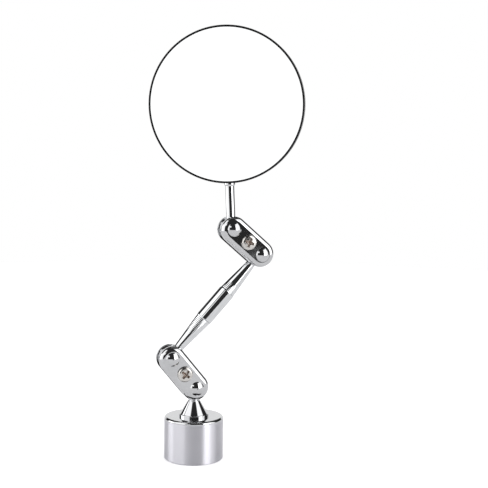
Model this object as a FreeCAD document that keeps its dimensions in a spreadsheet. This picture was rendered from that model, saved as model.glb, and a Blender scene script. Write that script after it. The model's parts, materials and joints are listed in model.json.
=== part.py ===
"""Magnetic-base inspection mirror with two screw-clamped ball joints.

A round pot magnet carries a cone-shaped ball stud.  A clamp of two plates holds the stud's ball and
the lower ball of a spindle-shaped arm.  A second clamp holds the arm's upper ball and the ball of the
mirror's stem.  Each ball swings about an axis along Y and spins about its own rod.

Units are millimetres.  +Z is up, the front of the clamps faces -Y, and the origin is the centre of
the magnet's flat face.
"""

import FreeCAD, Part
import math
import os
import re
import Sketcher

SIZES = {
    # magnetic base
    "base_dia": 32.0,
    "base_height": 23.3,
    "base_edge_round": 1.2,
    "base_foot_chamfer": 0.5,
    "cup_wall": 2.5,
    "spacer_width": 1.5,
    "magnet_height": 7.0,
    "spacer_recess": 0.4,
    "pole_disc_height": 3.0,
    # ball stud on the base
    "stud_shank_dia": 5.0,
    "stud_shank_length": 8.0,
    "hole_spare_depth": 0.5,
    "flange_dia": 16.1,
    "flange_height": 1.4,
    "flange_edge_round": 0.4,
    "cone_base_dia": 14.8,
    "cone_top_step": 0.7,
    "ball_lift": 16.1,
    # balls and rods
    "ball_dia": 11.0,
    "rod_dia": 4.9,
    "pin_dia": 3.0,
    "pin_length": 6.0,
    "running_gap": 0.04,
    "rod_side_gap": 0.2,
    "rod_shoulder_gap": 0.15,
    # clamps
    "ball_spacing": 21.4,
    "plate_width": 14.6,
    "plate_thickness": 3.5,
    "plate_edge_wall": 1.2,
    "plate_shoulder_width": 2.6,
    "plate_end_inset": 0.75,
    "dome_dia": 7.6,
    "dome_height": 1.45,
    "screw_dia": 4.0,
    "screw_point": 0.4,
    "screw_hole_gap": 0.15,
    "screw_tail": 0.8,
    "head_dia": 8.2,
    "head_height": 2.3,
    "head_edge_round": 1.2,
    "head_seat_gap": 0.25,
    "head_seat_depth": 0.5,
    "recess_width": 1.1,
    "recess_span": 4.6,
    "recess_depth": 1.2,
    "recess_point": 0.7,
    "washer_dia": 7.6,
    "washer_height": 0.9,
    "washer_seat_depth": 0.15,
    "washer_split": 0.8,
    "nut_across_corners": 8.08,
    "nut_height": 3.2,
    # arm
    "arm_ball_spacing": 74.0,
    "arm_middle_dia": 9.25,
    "arm_middle_length": 18.8,
    "arm_shoulder_dia": 8.85,
    "arm_tip_step": 0.1,
    "arm_ring_width": 0.4,
    "arm_ring_depth": 0.25,
    # mirror
    "mirror_dia": 83.5,
    "mirror_depth": 7.5,
    "stem_length": 24.7,
    "frame_wall": 0.7,
    "frame_back": 1.2,
    "frame_edge_round": 0.3,
    "glass_thickness": 3.0,
    "glass_recess": 0.25,
    "glass_side_gap": 0.1,
    "glass_bevel": 0.3,
    "pad_margin": 3.75,
    "collar_top_step": 0.45,
    "collar_foot_step": 0.15,
    "collar_height": 1.6,
    # rest pose in degrees: each link's lean from vertical, and turns about a link's or screw's axis
    "lower_clamp_lean": -39.2,
    "arm_lean": 42.1,
    "upper_clamp_lean": -49.1,
    "stem_lean": -2.9,
    "mirror_turn": -24.1,
    "lower_screw_turn": 12.0,
    "upper_screw_turn": 20.0,
}

# Sizes that follow from the driving ones, as formulas in their names
PLATE_GAP = "(rod_dia + 2 * rod_side_gap)"
PLATE_FACE = f"({PLATE_GAP} / 2 + plate_thickness)"
ROD_REACH = "(plate_width / 2 + rod_shoulder_gap)"
NECK_START = "sqrt((ball_dia / 2)^2 - (rod_dia / 2)^2)"
PIN_HOLE_RADIUS = "(pin_dia / 2 + running_gap)"
PIN_HOLE_DEPTH = "(pin_length + hole_spare_depth)"
POCKET_HEIGHT = "(magnet_height + pole_disc_height)"
POCKET_RADIUS = "(base_dia / 2 - cup_wall)"
MAGNET_RADIUS = f"({POCKET_RADIUS} - spacer_width)"
MIRROR_RADIUS = "(mirror_dia / 2)"
MIRROR_LIFT = f"(stem_length + {MIRROR_RADIUS})"
COLLAR_RADIUS = "(rod_dia / 2 + collar_top_step)"
FRAME_FLOOR = "(frame_back - mirror_depth / 2)"
GLASS_FRONT = "(mirror_depth / 2 - glass_recess)"

X_AXIS = FreeCAD.Vector(1, 0, 0)
Y_AXIS = FreeCAD.Vector(0, 1, 0)
Z_AXIS = FreeCAD.Vector(0, 0, 1)


def make_sheet(doc):
    """Spreadsheet of the driving sizes, one named value per row."""
    sheet = doc.addObject("Spreadsheet::Sheet", "Sizes")
    for row, (name, value) in enumerate(SIZES.items(), start=1):
        sheet.set(f"A{row}", name)
        sheet.set(f"B{row}", str(value))
        sheet.setAlias(f"B{row}", name)
    doc.recompute()
    return sheet


def in_sheet(formula):
    """The formula with each size name pointing at its cell."""
    return re.sub(r"[a-z_]+", lambda word: f"Sizes.{word[0]}" if word[0] in SIZES else word[0], formula)


def size(doc, formula):
    """The formula's present value."""
    value = doc.Sizes.evalExpression(in_sheet(formula))
    return float(getattr(value, "Value", value))


# ---------------------------------------------------------------- sketches and features


def new_body(doc, name):
    """Empty body whose label names the sub-part."""
    body = doc.addObject("PartDesign::Body", name)
    body.Label = name
    return body


def new_sketch(body, name, role, offset="0"):
    """Empty sketch on one of the body's base planes, moved along that plane's normal."""
    plane = next(item for item in body.Origin.OriginFeatures if item.Role == role)
    sketch = body.newObject("Sketcher::SketchObject", name)
    sketch.AttachmentSupport = (plane, [""])
    sketch.MapMode = "FlatFace"
    if offset != "0":
        sketch.setExpression("AttachmentOffset.Base.z", in_sheet(offset))
    return sketch


def arc_between(start, end, radius):
    """Anticlockwise arc of less than half a turn from start to end."""
    chord = end - start
    middle = (start + end) * 0.5
    reach = math.sqrt(max(radius**2 - (chord.Length / 2) ** 2, 0.0))
    centre = middle + FreeCAD.Vector(-chord.y, chord.x, 0).normalize() * reach
    first = math.atan2(start.y - centre.y, start.x - centre.x)
    last = math.atan2(end.y - centre.y, end.x - centre.x)
    return Part.ArcOfCircle(Part.Circle(centre, Z_AXIS, radius), first, last)


def draw_outline(sketch, corners):
    """Closed outline through corners listed anticlockwise.

    Each corner is (across, along) in formulas, with a third formula where the edge that leaves it is
    an outward arc of that radius.
    """
    doc = sketch.Document
    points = [FreeCAD.Vector(size(doc, corner[0]), size(doc, corner[1]), 0) for corner in corners]
    count = len(corners)
    for index, corner in enumerate(corners):
        start, end = points[index], points[(index + 1) % count]
        if len(corner) == 3:
            sketch.addGeometry(arc_between(start, end, size(doc, corner[2])), False)
        else:
            sketch.addGeometry(Part.LineSegment(start, end), False)
    for index, corner in enumerate(corners):
        sketch.addConstraint(Sketcher.Constraint("Coincident", index, 2, (index + 1) % count, 1))
        for kind, formula, axis in (("DistanceX", corner[0], -2), ("DistanceY", corner[1], -1)):
            if formula == "0":
                sketch.addConstraint(Sketcher.Constraint("PointOnObject", index, 1, axis))
            else:
                place = Sketcher.Constraint(kind, -1, 1, index, 1, size(doc, formula))
                bind_constraint(sketch, place, formula)
        if len(corner) == 3:
            bind_constraint(sketch, Sketcher.Constraint("Radius", index, size(doc, corner[2])), corner[2])


def bind_constraint(sketch, constraint, formula):
    """Add a dimension and drive it by the formula."""
    number = sketch.addConstraint(constraint)
    sketch.setExpression(f"Constraints[{number}]", in_sheet(formula))


def turned(body, name, role, corners, cut=False, offset="0"):
    """Solid of revolution about the sketch's upright axis, added to the body or cut from it."""
    sketch = new_sketch(body, f"{name}_outline", role, offset)
    draw_outline(sketch, corners)
    feature = body.newObject("PartDesign::Groove" if cut else "PartDesign::Revolution", name)
    feature.Profile = sketch
    feature.ReferenceAxis = (sketch, ["V_Axis"])
    feature.Angle = 360.0
    body.Document.recompute()
    return feature


def turned_body(doc, name, corners, role="XZ_Plane"):
    """Body that is one turned shape."""
    body = new_body(doc, name)
    turned(body, f"{name}_turning", role, corners)
    return body


def tube(doc, name, outer_radius, inner_radius, height):
    """Plain ring standing on its own XY plane."""
    outer = doc.addObject("Part::Cylinder", f"{name}_outside")
    outer.setExpression("Radius", in_sheet(outer_radius))
    outer.setExpression("Height", in_sheet(height))
    hole = doc.addObject("Part::Cylinder", f"{name}_hole")
    hole.setExpression("Radius", in_sheet(inner_radius))
    hole.setExpression("Height", in_sheet(height))
    return cut_away(doc, name, outer, hole)


def cut_away(doc, name, whole, tool):
    """Boolean cut whose label names the sub-part."""
    result = doc.addObject("Part::Cut", name)
    result.Base = whole
    result.Tool = tool
    result.Label = name
    doc.recompute()
    return result


# ---------------------------------------------------------------- magnetic base


def base_cup(doc):
    """Steel cup of the pot magnet, open below, with the stud's hole in its top."""
    return turned_body(doc, "base_cup", [
        (POCKET_RADIUS, "0"),
        ("base_dia / 2 - base_foot_chamfer", "0"),
        ("base_dia / 2", "base_foot_chamfer"),
        ("base_dia / 2", "base_height - base_edge_round", "base_edge_round"),
        ("base_dia / 2 - base_edge_round", "base_height"),
        ("stud_shank_dia / 2 + running_gap", "base_height"),
        ("stud_shank_dia / 2 + running_gap", "base_height - stud_shank_length - hole_spare_depth"),
        ("0", "base_height - stud_shank_length - hole_spare_depth"),
        ("0", POCKET_HEIGHT),
        (POCKET_RADIUS, POCKET_HEIGHT),
    ])


def base_magnet(doc):
    """Magnet disc whose lower face is flush with the cup's rim."""
    return turned_body(doc, "base_magnet", [
        ("0", "0"),
        (MAGNET_RADIUS, "0"),
        (MAGNET_RADIUS, "magnet_height"),
        ("0", "magnet_height"),
    ])


def base_pole_disc(doc):
    """Steel disc between the magnet and the cup's roof."""
    return turned_body(doc, "base_pole_disc", [
        ("0", "magnet_height"),
        (MAGNET_RADIUS, "magnet_height"),
        (MAGNET_RADIUS, POCKET_HEIGHT),
        ("0", POCKET_HEIGHT),
    ])


def base_spacer_ring(doc):
    """Non-magnetic ring that centres the magnet in the cup."""
    return turned_body(doc, "base_spacer_ring", [
        (MAGNET_RADIUS, "spacer_recess"),
        (POCKET_RADIUS, "spacer_recess"),
        (POCKET_RADIUS, POCKET_HEIGHT),
        (MAGNET_RADIUS, POCKET_HEIGHT),
    ])


def base_stud(doc):
    """Shank, flange, cone, neck and ball turned in one; its own zero is the flange's underside."""
    cone_top = f"ball_lift - {ROD_REACH}"
    return turned_body(doc, "base_stud", [
        ("0", "-stud_shank_length"),
        ("stud_shank_dia / 2", "-stud_shank_length"),
        ("stud_shank_dia / 2", "0"),
        ("flange_dia / 2", "0"),
        ("flange_dia / 2", "flange_height - flange_edge_round", "flange_edge_round"),
        ("flange_dia / 2 - flange_edge_round", "flange_height"),
        ("cone_base_dia / 2", "flange_height"),
        ("rod_dia / 2 + cone_top_step", cone_top),
        ("rod_dia / 2", cone_top),
        ("rod_dia / 2", f"ball_lift - {NECK_START}", "ball_dia / 2"),
        ("0", "ball_lift + ball_dia / 2"),
    ])


# ---------------------------------------------------------------- balls and rods


def ball_end(doc, name):
    """Ball with its neck and the pin that carries the rod; its own zero is the ball's centre."""
    return turned_body(doc, name, [
        ("0", "-ball_dia / 2", "ball_dia / 2"),
        ("rod_dia / 2", NECK_START),
        ("rod_dia / 2", ROD_REACH),
        ("pin_dia / 2", ROD_REACH),
        ("pin_dia / 2", f"{ROD_REACH} + pin_length"),
        ("0", f"{ROD_REACH} + pin_length"),
    ])


def arm_rod(doc):
    """Double cone with a plain middle barrel; its own zero is the lower ball's centre."""
    lower_tip = ROD_REACH
    upper_tip = f"arm_ball_spacing - {ROD_REACH}"
    barrel_start = "(arm_ball_spacing - arm_middle_length) / 2"
    barrel_end = "(arm_ball_spacing + arm_middle_length) / 2"
    ring_floor = "arm_shoulder_dia / 2 - arm_ring_depth"
    return turned_body(doc, "arm_rod", [
        (PIN_HOLE_RADIUS, lower_tip),
        ("rod_dia / 2 + arm_tip_step", lower_tip),
        ("arm_shoulder_dia / 2", f"{barrel_start} - arm_ring_width"),
        (ring_floor, f"{barrel_start} - arm_ring_width / 2"),
        ("arm_middle_dia / 2", barrel_start),
        ("arm_middle_dia / 2", barrel_end),
        (ring_floor, f"{barrel_end} + arm_ring_width / 2"),
        ("arm_shoulder_dia / 2", f"{barrel_end} + arm_ring_width"),
        ("rod_dia / 2 + arm_tip_step", upper_tip),
        (PIN_HOLE_RADIUS, upper_tip),
        (PIN_HOLE_RADIUS, f"{upper_tip} - {PIN_HOLE_DEPTH}"),
        ("0", f"{upper_tip} - {PIN_HOLE_DEPTH}"),
        ("0", f"{lower_tip} + {PIN_HOLE_DEPTH}"),
        (PIN_HOLE_RADIUS, f"{lower_tip} + {PIN_HOLE_DEPTH}"),
    ])


def mirror_stem(doc):
    """Plain rod with a tenon that enters the mirror's frame; its own zero is its ball's centre."""
    rod_top = "stem_length - collar_height"
    tenon_top = "stem_length + frame_wall"
    return turned_body(doc, "mirror_stem", [
        (PIN_HOLE_RADIUS, ROD_REACH),
        ("rod_dia / 2", ROD_REACH),
        ("rod_dia / 2", rod_top),
        ("pin_dia / 2", rod_top),
        ("pin_dia / 2", tenon_top),
        ("0", tenon_top),
        ("0", f"{ROD_REACH} + {PIN_HOLE_DEPTH}"),
        (PIN_HOLE_RADIUS, f"{ROD_REACH} + {PIN_HOLE_DEPTH}"),
    ])


# ---------------------------------------------------------------- clamps


def clamp_plate(doc, name, seat_radius, seat_depth):
    """Stadium plate with a rounded outer shoulder, two domes, ball sockets and a screw hole.

    Its own zero is midway between the balls on the inner face, its outer face looks along +Y and its
    length runs along Z.
    """
    body = new_body(doc, name)
    face_edge = "plate_width / 2 - plate_shoulder_width"
    drop = "(plate_thickness - plate_edge_wall)"
    shoulder_radius = f"(plate_shoulder_width^2 + {drop}^2) / (2 * {drop})"
    half_section = [
        ("0", "0"),
        ("plate_width / 2", "0"),
        ("plate_width / 2", "plate_edge_wall", shoulder_radius),
        (face_edge, "plate_thickness"),
        ("0", "plate_thickness"),
    ]
    mirrored_side = [
        (f"-({face_edge})", "plate_thickness", shoulder_radius),
        ("-plate_width / 2", "plate_edge_wall"),
        ("-plate_width / 2", "0"),
    ]
    section = new_sketch(body, f"{name}_section", "XY_Plane")
    draw_outline(section, half_section[1:4] + mirrored_side)
    bar = body.newObject("PartDesign::Pad", f"{name}_bar")
    bar.Profile = section
    bar.SideType = "Symmetric"
    bar.setExpression("Length", in_sheet("ball_spacing - 2 * plate_end_inset"))
    doc.recompute()
    dome_radius = "((dome_dia / 2)^2 + dome_height^2) / (2 * dome_height)"
    dome = [
        ("0", "plate_thickness / 2"),
        ("dome_dia / 2", "plate_thickness / 2"),
        ("dome_dia / 2", "plate_thickness", dome_radius),
        ("0", "plate_thickness + dome_height"),
    ]
    socket_radius = "(ball_dia / 2 + running_gap)"
    socket = [
        ("0", f"-{PLATE_GAP} / 2"),
        (socket_radius, f"-{PLATE_GAP} / 2", socket_radius),
        ("0", f"{socket_radius} - {PLATE_GAP} / 2"),
    ]
    for end, side in (("upper", ""), ("lower", "-")):
        turned(body, f"{name}_{end}_end", "XY_Plane", half_section,
               offset=f"{side}(ball_spacing / 2 - plate_end_inset)")
        turned(body, f"{name}_{end}_dome", "XY_Plane", dome, offset=f"{side}ball_spacing / 2")
    for end, side in (("upper", ""), ("lower", "-")):
        turned(body, f"{name}_{end}_socket", "XY_Plane", socket, cut=True,
               offset=f"{side}ball_spacing / 2")
    hole_radius = "screw_dia / 2 + screw_hole_gap"
    turned(body, f"{name}_screw_hole", "XY_Plane", [
        ("0", "-plate_thickness"),
        (hole_radius, "-plate_thickness"),
        (hole_radius, f"plate_thickness - {seat_depth}"),
        (seat_radius, f"plate_thickness - {seat_depth}"),
        (seat_radius, "2 * plate_thickness"),
        ("0", "2 * plate_thickness"),
    ], cut=True)
    return body


def clamp_screw(doc, name):
    """Pan-head screw with a cross recess; its own zero is under the head, which looks along +Z."""
    body = new_body(doc, name)
    length = f"(2 * {PLATE_FACE} - head_seat_depth + washer_height + nut_height + screw_tail)"
    turned(body, f"{name}_turning", "XZ_Plane", [
        ("0", f"-{length}"),
        ("screw_dia / 2 - screw_point", f"-{length}"),
        ("screw_dia / 2", f"screw_point - {length}"),
        ("screw_dia / 2", "0"),
        ("head_dia / 2", "0"),
        ("head_dia / 2", "head_height - head_edge_round", "head_edge_round"),
        ("head_dia / 2 - head_edge_round", "head_height"),
        ("0", "head_height"),
    ])
    recess_floor = "head_height - recess_depth"
    turned(body, f"{name}_recess_point", "XZ_Plane", [
        ("0", f"{recess_floor} - recess_point"),
        ("recess_width", "head_height"),
        ("0", "head_height"),
    ], cut=True)
    cross = new_sketch(body, f"{name}_cross", "XY_Plane", "head_height")
    arm, tip = "recess_width / 2", "recess_span / 2"
    draw_outline(cross, [
        (tip, f"-{arm}"), (tip, arm), (arm, arm),
        (arm, tip), (f"-{arm}", tip), (f"-{arm}", arm),
        (f"-{tip}", arm), (f"-{tip}", f"-{arm}"), (f"-{arm}", f"-{arm}"),
        (f"-{arm}", f"-{tip}"), (arm, f"-{tip}"), (arm, f"-{arm}"),
    ])
    before = body.Tip.Shape.Volume
    recess = body.newObject("PartDesign::Pocket", f"{name}_recess")
    recess.Profile = cross
    recess.setExpression("Length", in_sheet("recess_depth"))
    doc.recompute()
    if recess.Shape.Volume >= before:
        raise RuntimeError(f"{name}: the cross recess removes nothing")
    return body


def lock_washer(doc, name):
    """Split spring washer standing on its own XY plane."""
    ring = tube(doc, f"{name}_ring", "washer_dia / 2", "screw_dia / 2 + screw_hole_gap", "washer_height")
    split = doc.addObject("Part::Box", f"{name}_split")
    split.setExpression("Length", in_sheet("washer_dia"))
    split.setExpression("Width", in_sheet("washer_split"))
    split.setExpression("Height", in_sheet("washer_height"))
    split.setExpression("Placement.Base.y", in_sheet("-washer_split / 2"))
    return cut_away(doc, name, ring, split)


def clamp_nut(doc, name):
    """Hexagon nut standing on its own XY plane."""
    hexagon = doc.addObject("Part::Prism", f"{name}_hexagon")
    hexagon.Polygon = 6
    hexagon.setExpression("Circumradius", in_sheet("nut_across_corners / 2"))
    hexagon.setExpression("Height", in_sheet("nut_height"))
    hole = doc.addObject("Part::Cylinder", f"{name}_hole")
    hole.setExpression("Radius", in_sheet("screw_dia / 2 + running_gap"))
    hole.setExpression("Height", in_sheet("nut_height"))
    return cut_away(doc, name, hexagon, hole)


# ---------------------------------------------------------------- mirror


def stem_collar(doc):
    """Small bowl-shaped ring saddled on the mirror's rim; its own zero is the stem ball's centre."""
    foot = "stem_length - collar_height"
    brim = "stem_length + frame_wall / 2"
    blank = turned_body(doc, "stem_collar_blank", [
        (PIN_HOLE_RADIUS, foot),
        ("rod_dia / 2 + collar_foot_step", foot, "collar_height"),
        (COLLAR_RADIUS, "stem_length - collar_height / 3"),
        (COLLAR_RADIUS, brim),
        (PIN_HOLE_RADIUS, brim),
    ])
    saddle = doc.addObject("Part::Cylinder", "stem_collar_saddle")
    saddle.setExpression("Radius", in_sheet(MIRROR_RADIUS))
    saddle.setExpression("Height", in_sheet(f"4 * {COLLAR_RADIUS}"))
    saddle.Placement = FreeCAD.Placement(FreeCAD.Vector(), FreeCAD.Rotation(X_AXIS, -90))
    saddle.setExpression("Placement.Base.y", in_sheet(f"-2 * {COLLAR_RADIUS}"))
    saddle.setExpression("Placement.Base.z", in_sheet(MIRROR_LIFT))
    return cut_away(doc, "stem_collar", blank, saddle)


def mirror_frame(doc):
    """Shallow pan with a thin rim; its own zero is the mirror's centre and its front looks along +Y."""
    body = new_body(doc, "mirror_frame")
    turned(body, "mirror_frame_turning", "XY_Plane", [
        ("0", "-mirror_depth / 2"),
        (f"{MIRROR_RADIUS} - frame_edge_round", "-mirror_depth / 2", "frame_edge_round"),
        (MIRROR_RADIUS, "frame_edge_round - mirror_depth / 2"),
        (MIRROR_RADIUS, "mirror_depth / 2 - frame_edge_round", "frame_edge_round"),
        (f"{MIRROR_RADIUS} - frame_edge_round", "mirror_depth / 2"),
        (f"{MIRROR_RADIUS} - frame_wall", "mirror_depth / 2"),
        (f"{MIRROR_RADIUS} - frame_wall", FRAME_FLOOR),
        ("0", FRAME_FLOOR),
    ])
    turned(body, "mirror_frame_stem_hole", "XZ_Plane", [
        ("0", f"-{MIRROR_RADIUS} - frame_wall"),
        (PIN_HOLE_RADIUS, f"-{MIRROR_RADIUS} - frame_wall"),
        (PIN_HOLE_RADIUS, f"2 * frame_wall - {MIRROR_RADIUS}"),
        ("0", f"2 * frame_wall - {MIRROR_RADIUS}"),
    ], cut=True)
    return body


def mirror_pad(doc):
    """Adhesive foam pad between the pan's floor and the glass."""
    return turned_body(doc, "mirror_pad", [
        ("0", FRAME_FLOOR),
        (f"{MIRROR_RADIUS} - pad_margin", FRAME_FLOOR),
        (f"{MIRROR_RADIUS} - pad_margin", f"{GLASS_FRONT} - glass_thickness"),
        ("0", f"{GLASS_FRONT} - glass_thickness"),
    ], "XY_Plane")


def mirror_glass(doc):
    """Silvered glass disc with a ground front edge."""
    glass_radius = f"{MIRROR_RADIUS} - frame_wall - glass_side_gap"
    return turned_body(doc, "mirror_glass", [
        ("0", f"{GLASS_FRONT} - glass_thickness"),
        (glass_radius, f"{GLASS_FRONT} - glass_thickness"),
        (glass_radius, f"{GLASS_FRONT} - glass_bevel"),
        (f"{glass_radius} - glass_bevel", GLASS_FRONT),
        ("0", GLASS_FRONT),
    ], "XY_Plane")


# ---------------------------------------------------------------- assembly


def along(lean, distance):
    """Vector of that length leaning that many degrees from +Z towards +X."""
    angle = math.radians(lean)
    return FreeCAD.Vector(math.sin(angle), 0, math.cos(angle)) * distance


def link_frame(origin, lean, turn=0.0):
    """Placement whose Z runs along a leaning link, turned about that link."""
    return FreeCAD.Placement(origin, FreeCAD.Rotation(Y_AXIS, lean) * FreeCAD.Rotation(Z_AXIS, turn))


def shifted(frame, offset, rotation=FreeCAD.Rotation()):
    """Placement at an offset inside another frame."""
    return frame * FreeCAD.Placement(offset, rotation)


def build_base(doc):
    """Magnet, cup and ball stud on the Z axis."""
    cup, magnet, pole = base_cup(doc), base_magnet(doc), base_pole_disc(doc)
    ring, stud = base_spacer_ring(doc), base_stud(doc)
    stud.Placement = FreeCAD.Placement(FreeCAD.Vector(0, 0, size(doc, "base_height")), FreeCAD.Rotation())
    return [cup, magnet, pole, ring, stud]


def build_clamp(doc, end, first_ball, lean):
    """One clamp: front and rear plates, screw, lock washer and nut, with its zero at its first ball."""
    half_spacing = size(doc, "ball_spacing / 2")
    middle = link_frame(first_ball + along(lean, half_spacing), lean)
    half_gap = size(doc, f"{PLATE_GAP} / 2")
    face = size(doc, PLATE_FACE)
    front = clamp_plate(doc, f"{end}_front_plate", "head_dia / 2 + head_seat_gap", "head_seat_depth")
    front.Placement = shifted(middle, FreeCAD.Vector(0, -half_gap, 0), FreeCAD.Rotation(Z_AXIS, 180))
    rear = clamp_plate(doc, f"{end}_rear_plate", "washer_dia / 2 + head_seat_gap", "washer_seat_depth")
    rear.Placement = shifted(middle, FreeCAD.Vector(0, half_gap, 0))
    facing_front = FreeCAD.Rotation(X_AXIS, 90)
    facing_rear = FreeCAD.Rotation(X_AXIS, -90)
    screw = clamp_screw(doc, f"{end}_clamp_screw")
    turn = FreeCAD.Rotation(Z_AXIS, size(doc, f"{end}_screw_turn"))
    seat = size(doc, "head_seat_depth")
    screw.Placement = shifted(middle, FreeCAD.Vector(0, seat - face, 0), facing_front * turn)
    washer = lock_washer(doc, f"{end}_lock_washer")
    washer_seat = face - size(doc, "washer_seat_depth")
    washer.Placement = shifted(middle, FreeCAD.Vector(0, washer_seat, 0), facing_rear)
    nut = clamp_nut(doc, f"{end}_clamp_nut")
    nut_seat = washer_seat + size(doc, "washer_height")
    nut.Placement = shifted(middle, FreeCAD.Vector(0, nut_seat, 0), facing_rear)
    return [front, rear, screw, washer, nut]


def build_arm(doc, lower_ball, upper_ball, lean):
    """Spindle arm between its two balls."""
    lower = ball_end(doc, "arm_lower_ball")
    lower.Placement = link_frame(lower_ball, lean)
    rod = arm_rod(doc)
    rod.Placement = link_frame(lower_ball, lean)
    upper = ball_end(doc, "arm_upper_ball")
    upper.Placement = link_frame(upper_ball, lean + 180)
    return [lower, rod, upper]


def build_mirror(doc, stem_ball, lean):
    """Stem, collar, frame, pad and glass, with the mirror turned about the stem."""
    turn = size(doc, "mirror_turn")
    ball = ball_end(doc, "stem_ball")
    ball.Placement = link_frame(stem_ball, lean)
    pieces = [mirror_stem(doc), stem_collar(doc)]
    for piece in pieces:
        piece.Placement = link_frame(stem_ball, lean, turn)
    centre = stem_ball + along(lean, size(doc, MIRROR_LIFT))
    for piece in (mirror_frame(doc), mirror_pad(doc), mirror_glass(doc)):
        piece.Placement = link_frame(centre, lean, turn + 180)
        pieces.append(piece)
    return [ball] + pieces


def build_all(doc):
    """Every sub-part in the rest pose."""
    leans = {name: size(doc, f"{name}_lean") for name in ("lower_clamp", "arm", "upper_clamp", "stem")}
    spacing = size(doc, "ball_spacing")
    base_ball = FreeCAD.Vector(0, 0, size(doc, "base_height + ball_lift"))
    arm_low = base_ball + along(leans["lower_clamp"], spacing)
    arm_high = arm_low + along(leans["arm"], size(doc, "arm_ball_spacing"))
    stem_ball = arm_high + along(leans["upper_clamp"], spacing)
    pieces = build_base(doc)
    pieces += build_clamp(doc, "lower", base_ball, leans["lower_clamp"])
    pieces += build_arm(doc, arm_low, arm_high, leans["arm"])
    pieces += build_clamp(doc, "upper", arm_high, leans["upper_clamp"])
    pieces += build_mirror(doc, stem_ball, leans["stem"])
    return pieces


def check_document(doc, pieces):
    """Stop on any failed object or any sub-part without a valid solid."""
    doc.recompute()
    for item in doc.Objects:
        if "Invalid" in item.State or "Error" in item.State:
            raise RuntimeError(f"{item.Name} failed: {item.State}")
    for piece in pieces:
        shape = piece.Shape
        if shape.isNull() or not shape.isValid() or len(shape.Solids) != 1:
            raise RuntimeError(f"{piece.Label} is not one valid solid")


def export(pieces):
    """One STEP file per sub-part, named by its label."""
    os.makedirs("parts", exist_ok=True)
    for piece in pieces:
        piece.Shape.exportStep(f"parts/{piece.Label}.step")
        print(f"{piece.Label}: {piece.Shape.Volume:.1f} mm3")


def main():
    """Build, check and write the assembly."""
    doc = FreeCAD.newDocument("inspection_mirror")
    make_sheet(doc)
    pieces = build_all(doc)
    check_document(doc, pieces)
    export(pieces)


main()
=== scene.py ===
"""Finishes, turned and threaded detail, studio and camera for a magnetic-base inspection mirror."""

import json
import logging
import math
from dataclasses import dataclass, field
from enum import Enum

import bpy
import numpy as np
from mathutils import Matrix, Vector

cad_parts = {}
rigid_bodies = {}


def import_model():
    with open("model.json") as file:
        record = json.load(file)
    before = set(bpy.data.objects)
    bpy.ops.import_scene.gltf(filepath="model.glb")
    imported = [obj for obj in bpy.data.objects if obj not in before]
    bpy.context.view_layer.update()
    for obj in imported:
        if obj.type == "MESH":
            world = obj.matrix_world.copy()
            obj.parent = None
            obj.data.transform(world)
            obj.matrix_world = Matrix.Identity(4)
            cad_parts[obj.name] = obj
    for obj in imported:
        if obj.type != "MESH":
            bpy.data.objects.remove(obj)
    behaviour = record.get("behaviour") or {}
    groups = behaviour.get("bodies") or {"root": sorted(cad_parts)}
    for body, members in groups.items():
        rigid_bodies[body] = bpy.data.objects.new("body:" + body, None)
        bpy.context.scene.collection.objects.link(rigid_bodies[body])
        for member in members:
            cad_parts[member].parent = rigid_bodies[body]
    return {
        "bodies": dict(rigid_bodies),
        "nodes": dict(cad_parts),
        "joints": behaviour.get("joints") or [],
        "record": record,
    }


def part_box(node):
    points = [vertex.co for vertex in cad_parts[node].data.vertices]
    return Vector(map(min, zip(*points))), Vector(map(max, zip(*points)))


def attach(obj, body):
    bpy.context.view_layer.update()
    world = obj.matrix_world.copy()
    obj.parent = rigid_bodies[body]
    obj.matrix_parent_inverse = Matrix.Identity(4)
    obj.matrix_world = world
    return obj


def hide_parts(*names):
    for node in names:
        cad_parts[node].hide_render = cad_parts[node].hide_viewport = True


LOG = logging.getLogger("inspection_mirror")
MM = 0.001
RECESS = "recess"
X_AXIS, Y_AXIS, Z_AXIS = np.eye(3)
Color = tuple[float, float, float]
Material = bpy.types.Material
Socket = bpy.types.NodeSocket


class Slot(Enum):
    """Material slots of the record."""

    CHROME = "chrome"
    BRIGHT_STEEL = "bright_steel"


class Shaping(Enum):
    """Edges of a new mesh: which of them stay crisp, as the largest smoothed angle in degrees."""

    TURNED = 30.0
    HEXAGON = 22.0


# ---- shapes worked out with numpy


@dataclass(frozen=True)
class PieceAxis:
    """Local frame of a piece: its zero, its own +Z and the direction of its own +X."""

    origin: np.ndarray
    along: np.ndarray
    sideways: np.ndarray

    @classmethod
    def from_direction(cls, origin: np.ndarray, along: np.ndarray, sideways: np.ndarray) -> "PieceAxis":
        """Frame with unit axes, the sideways one squared up to the axis.

        Args:
            origin: The frame's zero in metres.
            along: Direction of the piece's own +Z.
            sideways: Rough direction of the piece's own +X.

        Returns:
            The squared-up frame.
        """
        along = np.asarray(along, float) / np.linalg.norm(along)
        sideways = np.asarray(sideways, float)
        sideways = sideways - along * float(sideways @ along)
        return cls(np.asarray(origin, float), along, sideways / np.linalg.norm(sideways))

    def place(self, points: np.ndarray) -> np.ndarray:
        """Local points, with coordinates in the last place, in the row frame.

        Args:
            points: Local coordinates in metres.

        Returns:
            The same points in the row frame: origin + x*X + y*(Z cross X) + z*Z.
        """
        return self.origin + points @ self.basis()

    def basis(self) -> np.ndarray:
        """The frame's own X, Y and Z, one row each."""
        return np.stack([self.sideways, np.cross(self.along, self.sideways), self.along])

    def euler(self) -> tuple[float, float, float]:
        """The frame's turn as XYZ angles, for a Mapping node."""
        return tuple(Matrix(self.basis().T.tolist()).to_euler("XYZ"))


def steps(start: float, end: float, count: int) -> np.ndarray:
    """Even steps from start towards end, without the end itself."""
    return np.linspace(start, end, count, endpoint=False)


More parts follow.
